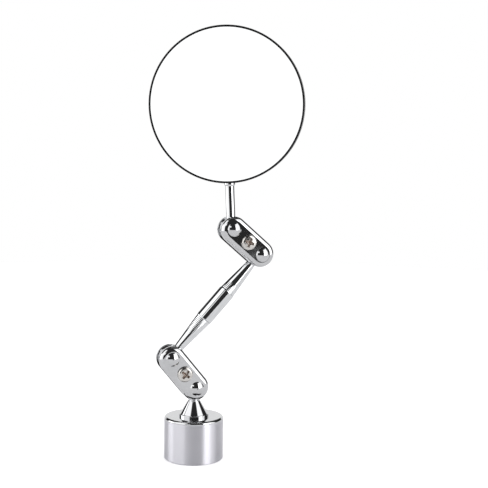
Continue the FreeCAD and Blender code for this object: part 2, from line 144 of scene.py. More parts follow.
def mesh_object(name: str, points: np.ndarray, faces: list, shaping: Shaping) -> bpy.types.Object:
    """New object at the origin with smooth faces and crisp edges past the shaping's angle.

    Args:
        name: Name of the piece.
        points: Vertices in metres, one row each.
        faces: Vertex numbers of each face.
        shaping: How sharp an edge has to be to stay crisp.

    Returns:
        The object, linked into the scene.
    """
    mesh = bpy.data.meshes.new(name)
    mesh.from_pydata(points.tolist(), [], faces)
    mesh.update()
    mesh.shade_smooth()
    mesh.set_sharp_from_angle(angle=math.radians(shaping.value))
    piece = bpy.data.objects.new(name, mesh)
    bpy.context.scene.collection.objects.link(piece)
    return piece


def quads_between(rings: int, around: int, wrap: bool) -> np.ndarray:
    """Quads joining each ring of a grid to the next, and the last to the first where it wraps.

    Vertex (i, j) is number i*around + j, and the quad is (i, j), (i, j+1), (i+1, j+1), (i+1, j).

    Args:
        rings: Number of rings.
        around: Vertices in each ring.
        wrap: Whether the last ring joins the first.

    Returns:
        Vertex numbers, one quad a row.
    """
    ring = np.arange(rings if wrap else rings - 1)[:, None]
    step = np.arange(around)[None, :]
    after = (ring + 1) % rings
    turn = (step + 1) % around
    corners = (ring * around + step, ring * around + turn, after * around + turn, after * around + step)
    return np.stack(corners, axis=-1).reshape(-1, 4)


def lathe_faces(rings: int, around: int) -> list:
    """Faces of a grid of rings closed by a point at each end.

    The rings come first, then the first pole and the last pole.

    Args:
        rings: Number of rings between the poles.
        around: Vertices in each ring.

    Returns:
        Quads between rings and triangles round the poles.
    """
    step = np.arange(around)
    turn = (step + 1) % around
    first, last = rings * around, rings * around + 1
    base = (rings - 1) * around
    start = np.stack([np.full(around, first), turn, step], axis=-1)
    end = np.stack([np.full(around, last), base + step, base + turn], axis=-1)
    return quads_between(rings, around, False).tolist() + start.tolist() + end.tolist()


# ---- node sketches and shared effects


class NodeSketch:
    """Short calls for laying out one node tree."""

    def __init__(self, tree: bpy.types.NodeTree) -> None:
        """Keep the tree that nodes go into."""
        self.tree = tree

    def add(self, kind: str, **values: object) -> bpy.types.Node:
        """New node with its properties set.

        Args:
            kind: Blender's name for the node type.
            **values: Properties of the node.

        Returns:
            The node.
        """
        node = self.tree.nodes.new(kind)
        for name, value in values.items():
            setattr(node, name, value)
        return node

    def feed(self, target: Socket, source: object) -> None:
        """Link a socket to the target, or set the target to a plain value.

        Args:
            target: The input socket.
            source: An output socket or a value.
        """
        if isinstance(source, bpy.types.NodeSocket):
            self.tree.links.new(source, target)
        else:
            target.default_value = source

    def fill(self, node: bpy.types.Node, **terms: object) -> bpy.types.Node:
        """Feed a node's inputs by name, with underscores for spaces.

        Args:
            node: The node.
            **terms: A socket or a value for each input named.

        Returns:
            The same node.
        """
        for name, term in terms.items():
            self.feed(node.inputs[name.replace("_", " ")], term)
        return node

    def math(self, operation: str, *terms: object) -> Socket:
        """Result of a Math node.

        Args:
            operation: Blender's name for the operation.
            *terms: Sockets or numbers, in order.

        Returns:
            The node's output.
        """
        node = self.add("ShaderNodeMath", operation=operation)
        for target, term in zip(node.inputs, terms):
            self.feed(target, term)
        return node.outputs[0]

    def dot(self, vector: Socket, direction: tuple[float, float, float]) -> Socket:
        """How far the vector reaches along a direction.

        Args:
            vector: The vector.
            direction: The unit direction.

        Returns:
            Their dot product.
        """
        node = self.add("ShaderNodeVectorMath", operation="DOT_PRODUCT")
        self.feed(node.inputs[0], vector)
        self.feed(node.inputs[1], direction)
        return node.outputs["Value"]

    def ramp(self, value: Socket, low: float, high: float, start: float = 0.0, end: float = 1.0) -> Socket:
        """Smooth step of the value: start below low, end above high.

        Args:
            value: What drives the step.
            low: Where it begins.
            high: Where it is complete.
            start: Result below low.
            end: Result above high.

        Returns:
            The stepped value.
        """
        node = self.add("ShaderNodeMapRange", interpolation_type="SMOOTHSTEP")
        for target, term in zip(node.inputs, (value, low, high, start, end)):
            self.feed(target, term)
        return node.outputs["Result"]

    def noise(self, vector: Socket, scale: object, detail: float, roughness: float = 0.5) -> Socket:
        """Grey noise.

        Args:
            vector: Where the noise is read.
            scale: Waves a metre, as a socket or a number.
            detail: How many finer layers are added.
            roughness: Strength of each layer as a share of the one before.

        Returns:
            A value from 0 to 1.
        """
        node = self.add("ShaderNodeTexNoise")
        self.fill(node, Vector=vector, Scale=scale, Detail=detail, Roughness=roughness)
        return node.outputs["Fac"]

    def mix(self, factor: object, first: object, second: object) -> Socket:
        """Blend of two colours.

        Args:
            factor: Share of the second colour.
            first: Colour where the factor is 0.
            second: Colour where the factor is 1.

        Returns:
            The blended colour.
        """
        node = self.add("ShaderNodeMix", data_type="RGBA")
        return self.fill(node, Factor=factor, A=first, B=second).outputs["Result"]


def new_group(name: str, inputs: dict[str, tuple[str, object]], outputs: tuple[str, ...]) -> NodeSketch:
    """Empty shader node group with named sockets.

    Args:
        name: Name of the group.
        inputs: Socket name to its kind and starting value.
        outputs: Names of the float outputs.

    Returns:
        A sketch on the group's tree.
    """
    tree = bpy.data.node_groups.new(name, "ShaderNodeTree")
    for label, (kind, value) in inputs.items():
        socket = tree.interface.new_socket(label, in_out="INPUT", socket_type=f"NodeSocket{kind}")
        if value is not None:
            socket.default_value = value
    for label in outputs:
        tree.interface.new_socket(label, in_out="OUTPUT", socket_type="NodeSocketFloat")
    return NodeSketch(tree)


def handling_marks() -> bpy.types.NodeTree:
    """Group for faint wipe streaks and smudges on bright metal and glass.

    Returns:
        A group that gives Smudge, from 0 clean to 1 dull, and Height, a slight waviness.
    """
    sketch = new_group(
        "handling_marks",
        {"Vector": ("Vector", None), "Smudges a metre": ("Float", 60.0), "Waves a metre": ("Float", 220.0)},
        ("Smudge", "Height"),
    )
    given = sketch.add("NodeGroupInput").outputs
    result = sketch.add("NodeGroupOutput").inputs
    smudge = sketch.noise(given["Vector"], given["Smudges a metre"], detail=4.0, roughness=0.6)
    streaks = sketch.add("ShaderNodeMapping")
    sketch.fill(streaks, Vector=given["Vector"], Rotation=(0.4, 0.7, 0.2), Scale=(1.0, 14.0, 3.0))
    streak = sketch.noise(streaks.outputs["Vector"], given["Smudges a metre"], detail=3.0)
    both = sketch.math("MULTIPLY", smudge, streak)
    sketch.feed(result["Smudge"], sketch.ramp(both, low=0.2, high=0.42))
    sketch.feed(result["Height"], sketch.noise(given["Vector"], given["Waves a metre"], detail=2.0))
    return sketch.tree


def turning_marks() -> bpy.types.NodeTree:
    """Group for the fine rings that a lathe tool leaves round a piece's own Z axis.

    The rings are one-dimensional noise over distance from the axis plus distance along it, so they
    run round a side and round a face alike.

    Returns:
        A group that gives Height and Groove, from 0 to 1.
    """
    sketch = new_group(
        "turning_marks",
        {"Vector": ("Vector", None), "Rings a metre": ("Float", 4000.0)},
        ("Height", "Groove"),
    )
    given = sketch.add("NodeGroupInput").outputs
    result = sketch.add("NodeGroupOutput").inputs
    parts = sketch.add("ShaderNodeSeparateXYZ")
    sketch.feed(parts.inputs[0], given["Vector"])
    across = sketch.math("MULTIPLY", parts.outputs["X"], parts.outputs["X"])
    across = sketch.math("MULTIPLY_ADD", parts.outputs["Y"], parts.outputs["Y"], across)
    travel = sketch.math("ADD", sketch.math("SQRT", across), parts.outputs["Z"])
    rings = sketch.add("ShaderNodeTexNoise", noise_dimensions="1D")
    sketch.fill(rings, W=travel, Scale=given["Rings a metre"], Detail=2.0)
    sketch.feed(result["Height"], rings.outputs["Fac"])
    sketch.feed(result["Groove"], sketch.ramp(rings.outputs["Fac"], low=0.55, high=0.7))
    return sketch.tree


@dataclass(frozen=True)
class Effects:
    """The shared node groups, built once."""

    marks: bpy.types.NodeTree = field(default_factory=handling_marks)
    rings: bpy.types.NodeTree = field(default_factory=turning_marks)


class Dressing(NodeSketch):
    """One material: its Principled shader and its coordinates."""

    def __init__(self, name: str, axis: PieceAxis | None = None) -> None:
        """Start the material.

        Args:
            name: Name of the material.
            axis: The piece's own frame where a pattern follows its axis.
        """
        self.material = bpy.data.materials.new(name)
        self.material.use_nodes = True
        super().__init__(self.material.node_tree)
        self.tree.nodes.clear()
        self.shader = self.add("ShaderNodeBsdfPrincipled")
        output = self.add("ShaderNodeOutputMaterial")
        self.feed(output.inputs["Surface"], self.shader.outputs["BSDF"])
        self.place = self.add("ShaderNodeTexCoord").outputs["Object"]
        if axis is not None:
            turned = self.add("ShaderNodeMapping", vector_type="TEXTURE")
            self.fill(turned, Vector=self.place, Location=tuple(axis.origin), Rotation=axis.euler())
            self.place = turned.outputs["Vector"]

    def group(self, tree: bpy.types.NodeTree, **values: object) -> bpy.types.NodeOutputs:
        """Outputs of a shared group placed in this material.

        Args:
            tree: The group.
            **values: Its inputs, with underscores for spaces.

        Returns:
            The placed group's outputs.
        """
        node = self.add("ShaderNodeGroup", node_tree=tree)
        return self.fill(node, Vector=self.place, **values).outputs

    def set(self, **values: object) -> None:
        """Feed or set the shader's own sockets, with underscores for spaces."""
        self.fill(self.shader, **values)

    def bump(self, height: Socket, depth: float) -> None:
        """Bump the surface by a height field.

        Args:
            height: The field, from 0 to 1.
            depth: Its depth in metres.
        """
        node = self.fill(self.add("ShaderNodeBump"), Height=height, Distance=depth, Strength=1.0)
        self.set(Normal=node.outputs["Normal"])


# ---- finishes


@dataclass(frozen=True)
class PolishedChrome:
    """Bright plating with faint wipe marks."""

    name: str = "polished_chrome"
    color: Color = (0.67, 0.675, 0.685)
    dull_color: Color = (0.62, 0.625, 0.635)
    roughness: float = 0.035
    dull_roughness: float = 0.09
    waviness: float = 0.4e-6
    ring_depth: float = 0.0
    rings_a_metre: float = 4000.0

    def build(self, effects: Effects, axis: PieceAxis | None = None) -> Material:
        """Material of this finish.

        Args:
            effects: The shared groups.
            axis: The turned piece's own frame, where turning marks show.

        Returns:
            The material.
        """
        dress = Dressing(self.name, axis)
        marks = dress.group(effects.marks)
        color = dress.mix(marks["Smudge"], (*self.color, 1.0), (*self.dull_color, 1.0))
        roughness = dress.ramp(marks["Smudge"], 0.0, 1.0, self.roughness, self.dull_roughness)
        height, depth = marks["Height"], self.waviness
        if self.ring_depth:
            rings = dress.group(effects.rings, Rings_a_metre=self.rings_a_metre)
            share = self.waviness / self.ring_depth
            height = dress.math("MULTIPLY_ADD", marks["Height"], share, rings["Height"])
            depth = self.ring_depth
        dress.set(Metallic=1.0, Base_Color=color, Roughness=roughness)
        dress.bump(height, depth)
        return dress.material


@dataclass(frozen=True)
class SatinSideChrome:
    """Plating that is satin on an upright turned side and polished on the edge and top above it."""

    name: str = "satin_side_chrome"
    color: Color = (0.75, 0.745, 0.79)
    top_color: Color = (0.66, 0.665, 0.675)
    side_roughness: float = 0.36
    side_smudge_roughness: float = 0.05
    groove_roughness: float = 0.04
    brushed: float = 0.9
    brushed_turn: float = 0.25
    top_roughness: float = 0.06
    top_smudge_roughness: float = 0.04
    ring_depth: float = 0.8e-6
    rings_a_metre: float = 2600.0
    blend_height: float = 0.5 * MM

    def build(self, effects: Effects, side_top: float) -> Material:
        """Material of this finish.

        Args:
            effects: The shared groups.
            side_top: Height where the satin side ends.

        Returns:
            The material.
        """
        dress = Dressing(self.name)
        marks = dress.group(effects.marks)
        rings = dress.group(effects.rings, Rings_a_metre=self.rings_a_metre)
        level = dress.add("ShaderNodeSeparateXYZ")
        dress.feed(level.inputs[0], dress.place)
        above = dress.ramp(level.outputs["Z"], side_top - self.blend_height, side_top)
        satin = dress.math("MULTIPLY_ADD", marks["Smudge"], self.side_smudge_roughness, self.side_roughness)
        satin = dress.math("MULTIPLY_ADD", rings["Groove"], self.groove_roughness, satin)
        shine = dress.math("MULTIPLY_ADD", marks["Smudge"], self.top_smudge_roughness, self.top_roughness)
        change = dress.math("MULTIPLY", dress.math("SUBTRACT", shine, satin), above)
        color = dress.mix(above, (*self.color, 1.0), (*self.top_color, 1.0))
        around = dress.add("ShaderNodeTangent", direction_type="RADIAL", axis="Z")
        dress.set(Metallic=1.0, Base_Color=color, Roughness=dress.math("ADD", satin, change))
        dress.set(Anisotropic=self.brushed, Anisotropic_Rotation=self.brushed_turn)
        dress.set(Tangent=around.outputs["Tangent"])
        dress.bump(rings["Height"], self.ring_depth)
        return dress.material


@dataclass(frozen=True)
class BrightZinc:
    """Plated fastener steel, with tarnish on smudges and a painted dark warm reflection in the cross recess,
    where the piece says it is recessed.
    """

    name: str = "bright_zinc"
    color: Color = (0.74, 0.72, 0.69)
    # brown of the tarnish on smudges, and also the painted dark warm reflection in the screw's cross recess
    tarnish_and_recess_reflection: Color = (0.17, 0.095, 0.055)
    tarnish: float = 0.18
    roughness: float = 0.16
    smudge_roughness: float = 0.12
    recess_roughness: float = 0.3
    recess_metallic: float = 0.35
    speckles_a_metre: float = 1400.0
    grain_depth: float = 2.5e-6

    def build(self, effects: Effects) -> Material:
        """Material of this finish.

        Args:
            effects: The shared groups.

        Returns:
            The material.
        """
        dress = Dressing(self.name)
        marks = dress.group(effects.marks, Smudges_a_metre=400.0, Waves_a_metre=2600.0)
        recess = dress.add("ShaderNodeAttribute", attribute_name=RECESS)
        speckle = dress.noise(dress.place, self.speckles_a_metre, detail=3.0, roughness=0.7)
        patchy = dress.ramp(speckle, low=0.34, high=0.62, start=0.35, end=1.0)
        # painted dark warm reflection laid in patches over the cross recess, where the recess attribute is
        # set
        painted_recess_reflection = dress.math("MULTIPLY", recess.outputs["Fac"], patchy)
        tarnish = dress.math("MULTIPLY", marks["Smudge"], self.tarnish)
        color = dress.mix(dress.math("MAXIMUM", painted_recess_reflection, tarnish), (*self.color, 1.0), (*self.tarnish_and_recess_reflection, 1.0))
        rough = dress.math("MULTIPLY_ADD", marks["Smudge"], self.smudge_roughness, self.roughness)
        rough = dress.math("MULTIPLY_ADD", painted_recess_reflection, self.recess_roughness, rough)
        metallic = dress.ramp(painted_recess_reflection, low=0.2, high=1.0, start=1.0, end=self.recess_metallic)
        dress.set(Metallic=metallic, Base_Color=color, Roughness=rough)
        dress.bump(marks["Height"], self.grain_depth)
        return dress.material


@dataclass(frozen=True)
class SilveredGlass:
    """Clean mirror glass."""

    name: str = "silvered_glass"
    color: Color = (0.94, 0.95, 0.95)
    smudged_color: Color = (0.91, 0.925, 0.925)

    def build(self, effects: Effects) -> Material:
        """Material of this finish.

        Args:
            effects: The shared groups.

        Returns:
            The material.
        """
        dress = Dressing(self.name)
        marks = dress.group(effects.marks, Smudges_a_metre=25.0)
        tint = dress.mix(marks["Smudge"], (*self.color, 1.0), (*self.smudged_color, 1.0))
        dress.set(Metallic=1.0, Base_Color=tint, Roughness=0.0)
        return dress.material


@dataclass(frozen=True)
class PaintedDarkReflection:
    """Thin glossy near-black coat with a slight ripple, painted on the mirror's frame as the dark reflection
    its rim shows.
    """

    name: str = "painted_dark_rim"
    # near-black painted in as the dark reflection of the frame's rim
    color: Color = (0.006, 0.006, 0.007)
    worn_color: Color = (0.014, 0.014, 0.015)
    roughness: float = 0.22
    smudge_roughness: float = 0.1
    ior: float = 1.45
    ripple_depth: float = 1.5e-6

    def build(self, effects: Effects) -> Material:
        """Material of this finish.

        Args:
            effects: The shared groups.

        Returns:
            The material.
        """
        dress = Dressing(self.name)
        marks = dress.group(effects.marks, Smudges_a_metre=120.0, Waves_a_metre=900.0)
        color = dress.mix(marks["Smudge"], (*self.color, 1.0), (*self.worn_color, 1.0))
        roughness = dress.math("MULTIPLY_ADD", marks["Smudge"], self.smudge_roughness, self.roughness)
        dress.set(Base_Color=color, Roughness=roughness, IOR=self.ior)
        dress.bump(marks["Height"], self.ripple_depth)
        return dress.material


@dataclass(frozen=True)
class MattePiece:
    """Dull filler material: sintered magnet, plastic ring or foam pad."""

    name: str
    color: Color
    light_color: Color
    roughness: float
    grains_a_metre: float
    grain_depth: float
    metallic: float = 0.0
    grains_a_patch: float = 12.0
    patch_roughness: float = 0.2

    def build(self) -> Material:
        """Material of this finish.

        Returns:
            The material.
        """
        dress = Dressing(self.name)
        grain = dress.noise(dress.place, self.grains_a_metre, detail=5.0, roughness=0.65)
        patch = dress.noise(dress.place, self.grains_a_metre / self.grains_a_patch, detail=2.0)
        color = dress.mix(dress.math("MULTIPLY", grain, patch), (*self.color, 1.0), (*self.light_color, 1.0))
        lowest = self.roughness - self.patch_roughness / 2
        rough = dress.math("MULTIPLY_ADD", patch, self.patch_roughness, lowest)
        dress.set(Metallic=self.metallic, Base_Color=color, Roughness=rough)
        dress.bump(grain, self.grain_depth)
        return dress.material


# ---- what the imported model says


@dataclass(frozen=True)
class PackedModel:
    """The loaded frame, with short ways to its nodes and joints."""

    frame: dict

    def joint(self, name: str) -> tuple[np.ndarray, np.ndarray]:
        """A joint's place in metres and its axis.

        Args:
            name: The joint's name.

        Returns:
            The point on the axis and the unit axis.
        """
        found = next(item for item in self.frame["joints"] if item["name"] == name)
        return np.array(found["pos_m"], float), np.array(found["axis"], float)

    def dress(self, material: Material, *nodes: str) -> None:
        """Put a material on CAD nodes and report each one.

        Args:
            material: The finish.
            *nodes: Names of the nodes.
        """
        for name in nodes:
            for slot in self.frame["nodes"][name].material_slots:
                slot.material = material
            LOG.info("%s dressed in %s", name, material.name)


def finish_piece(piece: bpy.types.Object, body: str, material: Material,
                 node: str) -> None:
    """Give a new piece its material, body and slot, and let it stand for its CAD node.

    Args:
        piece: The new object.
        body: The body it rides on.
        material: Its finish.
        node: The CAD node it replaces.
    """
    piece.data.materials.append(material)
    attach(piece, body)
    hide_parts(node)
    LOG.info("%s built with %d faces, for %s", piece.name, len(piece.data.polygons), node)


# ---- sub-assemblies


@dataclass
class MagneticBase:
    """Cylindrical holding magnet with its ball stud."""

    edge_round: float = 1.2 * MM
    magnet: MattePiece = MattePiece(
        "sintered_magnet", (0.05, 0.05, 0.052), (0.2, 0.2, 0.21),
        roughness=0.5, grains_a_metre=2200.0, grain_depth=4e-6, metallic=0.8)
    spacer: MattePiece = MattePiece(
        "black_plastic", (0.012, 0.012, 0.013), (0.035, 0.035, 0.036),
        roughness=0.55, grains_a_metre=900.0, grain_depth=3e-6)

    def build(self, model: PackedModel, effects: Effects, zinc: Material) -> None:
        """Dress the cup, magnet, pole disc, spacer ring and stud.

        Args:
            model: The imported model.
            effects: The shared groups.
            zinc: Finish of the pole disc.
        """
        model.dress(zinc, "base_pole_disc")
        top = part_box("base_cup")[1].z
        model.dress(SatinSideChrome().build(effects, top - self.edge_round), "base_cup")
        model.dress(self.magnet.build(), "base_magnet")
        model.dress(self.spacer.build(), "base_spacer_ring")
        upright = PieceAxis.from_direction(top * Z_AXIS, Z_AXIS, X_AXIS)
        stud = PolishedChrome("stud_chrome", ring_depth=0.5e-6, rings_a_metre=3200.0)
        model.dress(stud.build(effects, upright), "base_stud")


@dataclass
class BallClamp:
    """Two plates that squeeze a pair of balls, with a threaded screw and a chamfered nut."""

    end: str
    screw_turn: float
    head_radius: float = 4.1 * MM
    head_height: float = 2.3 * MM
    head_edge_round: float = 1.2 * MM
    head_crown: float = 0.12 * MM
    seat_gap: float = 0.01 * MM
    shank_radius: float = 2.0 * MM
    thread_pitch: float = 0.7 * MM
    thread_depth: float = 0.3 * MM
    plain_length: float = 1.2 * MM
    tail_chamfer: float = 0.4 * MM
    recess_width: float = 1.15 * MM
    recess_span: float = 4.9 * MM
    recess_depth: float = 1.25 * MM
    recess_wall: float = 0.22 * MM
    recess_core: float = 1.25 * MM
    recess_cone: float = 0.35
    nut_corner_radius: float = 4.04 * MM
    nut_bore_radius: float = 2.04 * MM
    nut_bore_lip: float = 0.25 * MM
    nut_chamfer_start: float = 3.45 * MM
    nut_chamfer_angle: float = 30.0
    around: int = 144
    shank_rings: int = 260
    edge_rings: int = 14
    head_face_rings: int = 64
    seat_rings: int = 6
    short_rings: int = 4
    nut_face_rings: int = 18
    nut_side_rings: int = 8

    def build(self, model: PackedModel, chrome: Material, zinc: Material) -> None:
        """Dress the plates and washer, and build the screw and nut.

        Args:
            model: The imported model.
            chrome: Finish of the plates.
            zinc: Finish of the fasteners.
        """
        model.dress(chrome, f"{self.end}_front_plate", f"{self.end}_rear_plate")
        model.dress(zinc, f"{self.end}_lock_washer")
        centre, outward = model.joint(f"{self.end}_screw_turn")
        first, second = self.ball_joints(model)
        length_way = (second - first) / np.linalg.norm(second - first)
        cross_way = np.cross(Y_AXIS, length_way)
        screw = self.build_screw(centre, outward, cross_way)
        finish_piece(screw, f"{self.end}_screw", zinc, f"{self.end}_clamp_screw")
        nut = self.build_nut(centre, -outward, cross_way)
        finish_piece(nut, f"{self.end}_clamp", zinc, f"{self.end}_clamp_nut")

    def ball_joints(self, model: PackedModel) -> tuple[np.ndarray, np.ndarray]:
        """Centres of the two balls that this clamp holds."""
        names = {"lower": ("lower_clamp_swing", "arm_swing"), "upper": ("upper_clamp_swing", "stem_swing")}
        return tuple(model.joint(name)[0] for name in names[self.end])

    def recess_at(self, across: np.ndarray, along: np.ndarray) -> np.ndarray:
        """Share of the cross recess at points of the head's face, 0 outside and 1 on its floor.

        Each bar is a soft-edged strip, min of a step across its width and one along its length, and
        the recess is the greater of the two bars and of a round core where they meet.

        Args:
            across: Distances along the face's own X.
            along: Distances along the face's own Y.

        Returns:
            The share at each point.
        """
        def inside(distance: np.ndarray, half: float) -> np.ndarray:
            """Soft step that falls from 1 to 0 over the recess wall at half."""
            share = np.clip((half - np.abs(distance)) / self.recess_wall + 0.5, 0.0, 1.0)
            return share * share * (3.0 - 2.0 * share)

        bars = [
            np.minimum(inside(a, self.recess_width / 2), inside(b, self.recess_span / 2))
            for a, b in ((across, along), (along, across))
        ]
        core = inside(np.hypot(across, along), self.recess_core)
        return np.maximum(np.maximum(*bars), core)

    def screw_profile(self, tail: float) -> tuple[np.ndarray, np.ndarray]:
        """Radius and height of each ring of the screw, from the tail's middle to the head's middle.

        The rings are the tail's flat end, its chamfer, the shank, the head's seat, its side, its
        rounded edge and its crowned face.

        Args:
            tail: Height of the tail, with zero at the plate.

        Returns:
            The radii and the heights.
        """
        tip = self.shank_radius - self.tail_chamfer
        shank = steps(tail + self.tail_chamfer, 0.0, self.shank_rings)
        arc = np.linspace(0.0, np.pi / 2, self.edge_rings)
        edge = self.head_radius - self.head_edge_round
        face = steps(edge, 0.0, self.head_face_rings)[1:]
        short, seat = self.short_rings, self.seat_rings
        radius = np.concatenate([
            steps(self.shank_radius / 5, tip, short),
            steps(tip, self.shank_radius, short),
            np.full(shank.size, self.shank_radius),
            np.linspace(self.shank_radius, self.head_radius, seat),
            np.full(short, self.head_radius),
            edge + self.head_edge_round * np.cos(arc),
            face,
        ])
        height = np.concatenate([
            np.full(short, tail),
            steps(tail, tail + self.tail_chamfer, short),
            shank,
            np.linspace(0.0, self.seat_gap, seat),
            steps(self.seat_gap, self.head_shoulder(), short + 1)[1:],
            self.head_shoulder() + self.head_edge_round * np.sin(arc),
            self.head_height - self.head_crown * (face / edge) ** 2,
        ])
        return radius, height

    def head_shoulder(self) -> float:
        """Height on the head where its side meets its rounded edge."""
        return self.head_height - self.head_edge_round - self.head_crown

    def build_screw(self, centre: np.ndarray, outward: np.ndarray, cross_way: np.ndarray) -> bpy.types.Object:
        """Pan-head screw as one closed lathe surface with a thread and a cross recess.

        On the shank the radius drops by thread_depth times a triangle wave of (height / pitch -
        turn), which makes a helix.  On the head's face the height drops by recess_depth times the
        recess share, and by up to recess_cone more towards the middle.

        Args:
            centre: A point on the screw's axis.
            outward: Direction of the head.
            cross_way: Direction that the recess's turn is counted from.

        Returns:
            The screw.
        """
        low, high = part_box(f"{self.end}_clamp_screw")
        seat = centre.copy()
        seat[1] = low.y + self.head_height
        tail = -(high.y - seat[1])
        radius, height = (side[:, None] for side in self.screw_profile(tail))
        turn = steps(0.0, 2 * np.pi, self.around)[None, :]
        wave = np.abs(((height / self.thread_pitch - turn / (2 * np.pi)) % 1.0) * 2.0 - 1.0)
        threaded = (radius <= self.shank_radius) & (height < -self.plain_length)
        threaded = threaded & (height > tail + self.tail_chamfer / 2)
        reach = radius - self.thread_depth * wave * threaded
        across, along = reach * np.cos(turn), reach * np.sin(turn)
        share = self.recess_at(across, along) * (height > self.head_shoulder())
        middle = np.clip(1.0 - np.hypot(across, along) / self.recess_core, 0.0, 1.0)
        rise = height - self.recess_depth * share * (1.0 + self.recess_cone * middle)
        grid = np.stack([across, along, rise], axis=-1).reshape(-1, 3)
        deepest = self.head_height - self.recess_depth * (1.0 + self.recess_cone)
        poles = np.array([tail * Z_AXIS, deepest * Z_AXIS])
        recess_at_poles = [0.0, 1.0]
        spin = math.radians(self.screw_turn)
        cos, sin = math.cos(spin), math.sin(spin)
        turned = np.array([[cos, sin, 0.0], [-sin, cos, 0.0], [0.0, 0.0, 1.0]])
        axis = PieceAxis.from_direction(seat, outward, cross_way)
        points = axis.place(np.concatenate([grid, poles]) @ turned)
        faces = lathe_faces(radius.size, self.around)
        piece = mesh_object(f"{self.end}_threaded_screw", points, faces, Shaping.TURNED)
        # share of the cross recess, which the zinc finish reads to paint a dark warm reflection into the
        # recess
        recess = piece.data.attributes.new(RECESS, "FLOAT", "POINT")
        recess.data.foreach_set("value", np.concatenate([share.ravel(), recess_at_poles]).astype(np.float32))
        return piece

    def build_nut(self, centre: np.ndarray, rearward: np.ndarray, cross_way: np.ndarray) -> bpy.types.Object:
        """Hexagon nut with chamfered corners and a round bore, as one ring-shaped surface.

        The outline's radius is apothem / cos(angle from the middle of the nearest flat).  Both faces
        drop by the tangent of the chamfer's angle past its start, so its edge curves down at each
        corner, and by a 45-degree lip at the bore.

        Args:
            centre: A point on the nut's axis.
            rearward: Direction away from the plates.
            cross_way: Direction of one corner.

        Returns:
            The nut.
        """
        low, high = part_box(f"{self.end}_clamp_nut")
        tall = high.y - low.y
        turn = steps(0.0, 2 * np.pi, self.around)
        flat = (turn % (np.pi / 3)) - np.pi / 6
        outline = self.nut_corner_radius * math.cos(math.pi / 6) / np.cos(flat)
        share = np.linspace(0.0, 1.0, self.nut_face_rings)[:, None]
        across_face = self.nut_bore_radius + share * (outline[None, :] - self.nut_bore_radius)
        slope = math.tan(math.radians(self.nut_chamfer_angle))
        drop = np.maximum(across_face - self.nut_chamfer_start, 0.0) * slope
        lip = np.maximum(self.nut_bore_radius + self.nut_bore_lip - across_face, 0.0)
        top, bottom = tall - drop - lip, drop + lip
        side = steps(0.0, 1.0, self.nut_side_rings)[1:, None]
        side_height = top[-1] + side * (bottom[-1] - top[-1])
        bore_height = bottom[0] + side * (top[0] - bottom[0])
        radius = np.concatenate([
            across_face, np.broadcast_to(outline, side_height.shape), across_face[::-1],
            np.full(bore_height.shape, self.nut_bore_radius),
        ])
        height = np.concatenate([top, side_height, bottom[::-1], bore_height])
        grid = np.stack([radius * np.cos(turn), radius * np.sin(turn), height], axis=-1).reshape(-1, 3)
        seat = centre.copy()
        seat[1] = low.y
        axis = PieceAxis.from_direction(seat, rearward, cross_way)
        faces = quads_between(radius.shape[0], self.around, True)[:, ::-1].tolist()
        return mesh_object(f"{self.end}_chamfered_nut", axis.place(grid), faces, Shaping.HEXAGON)


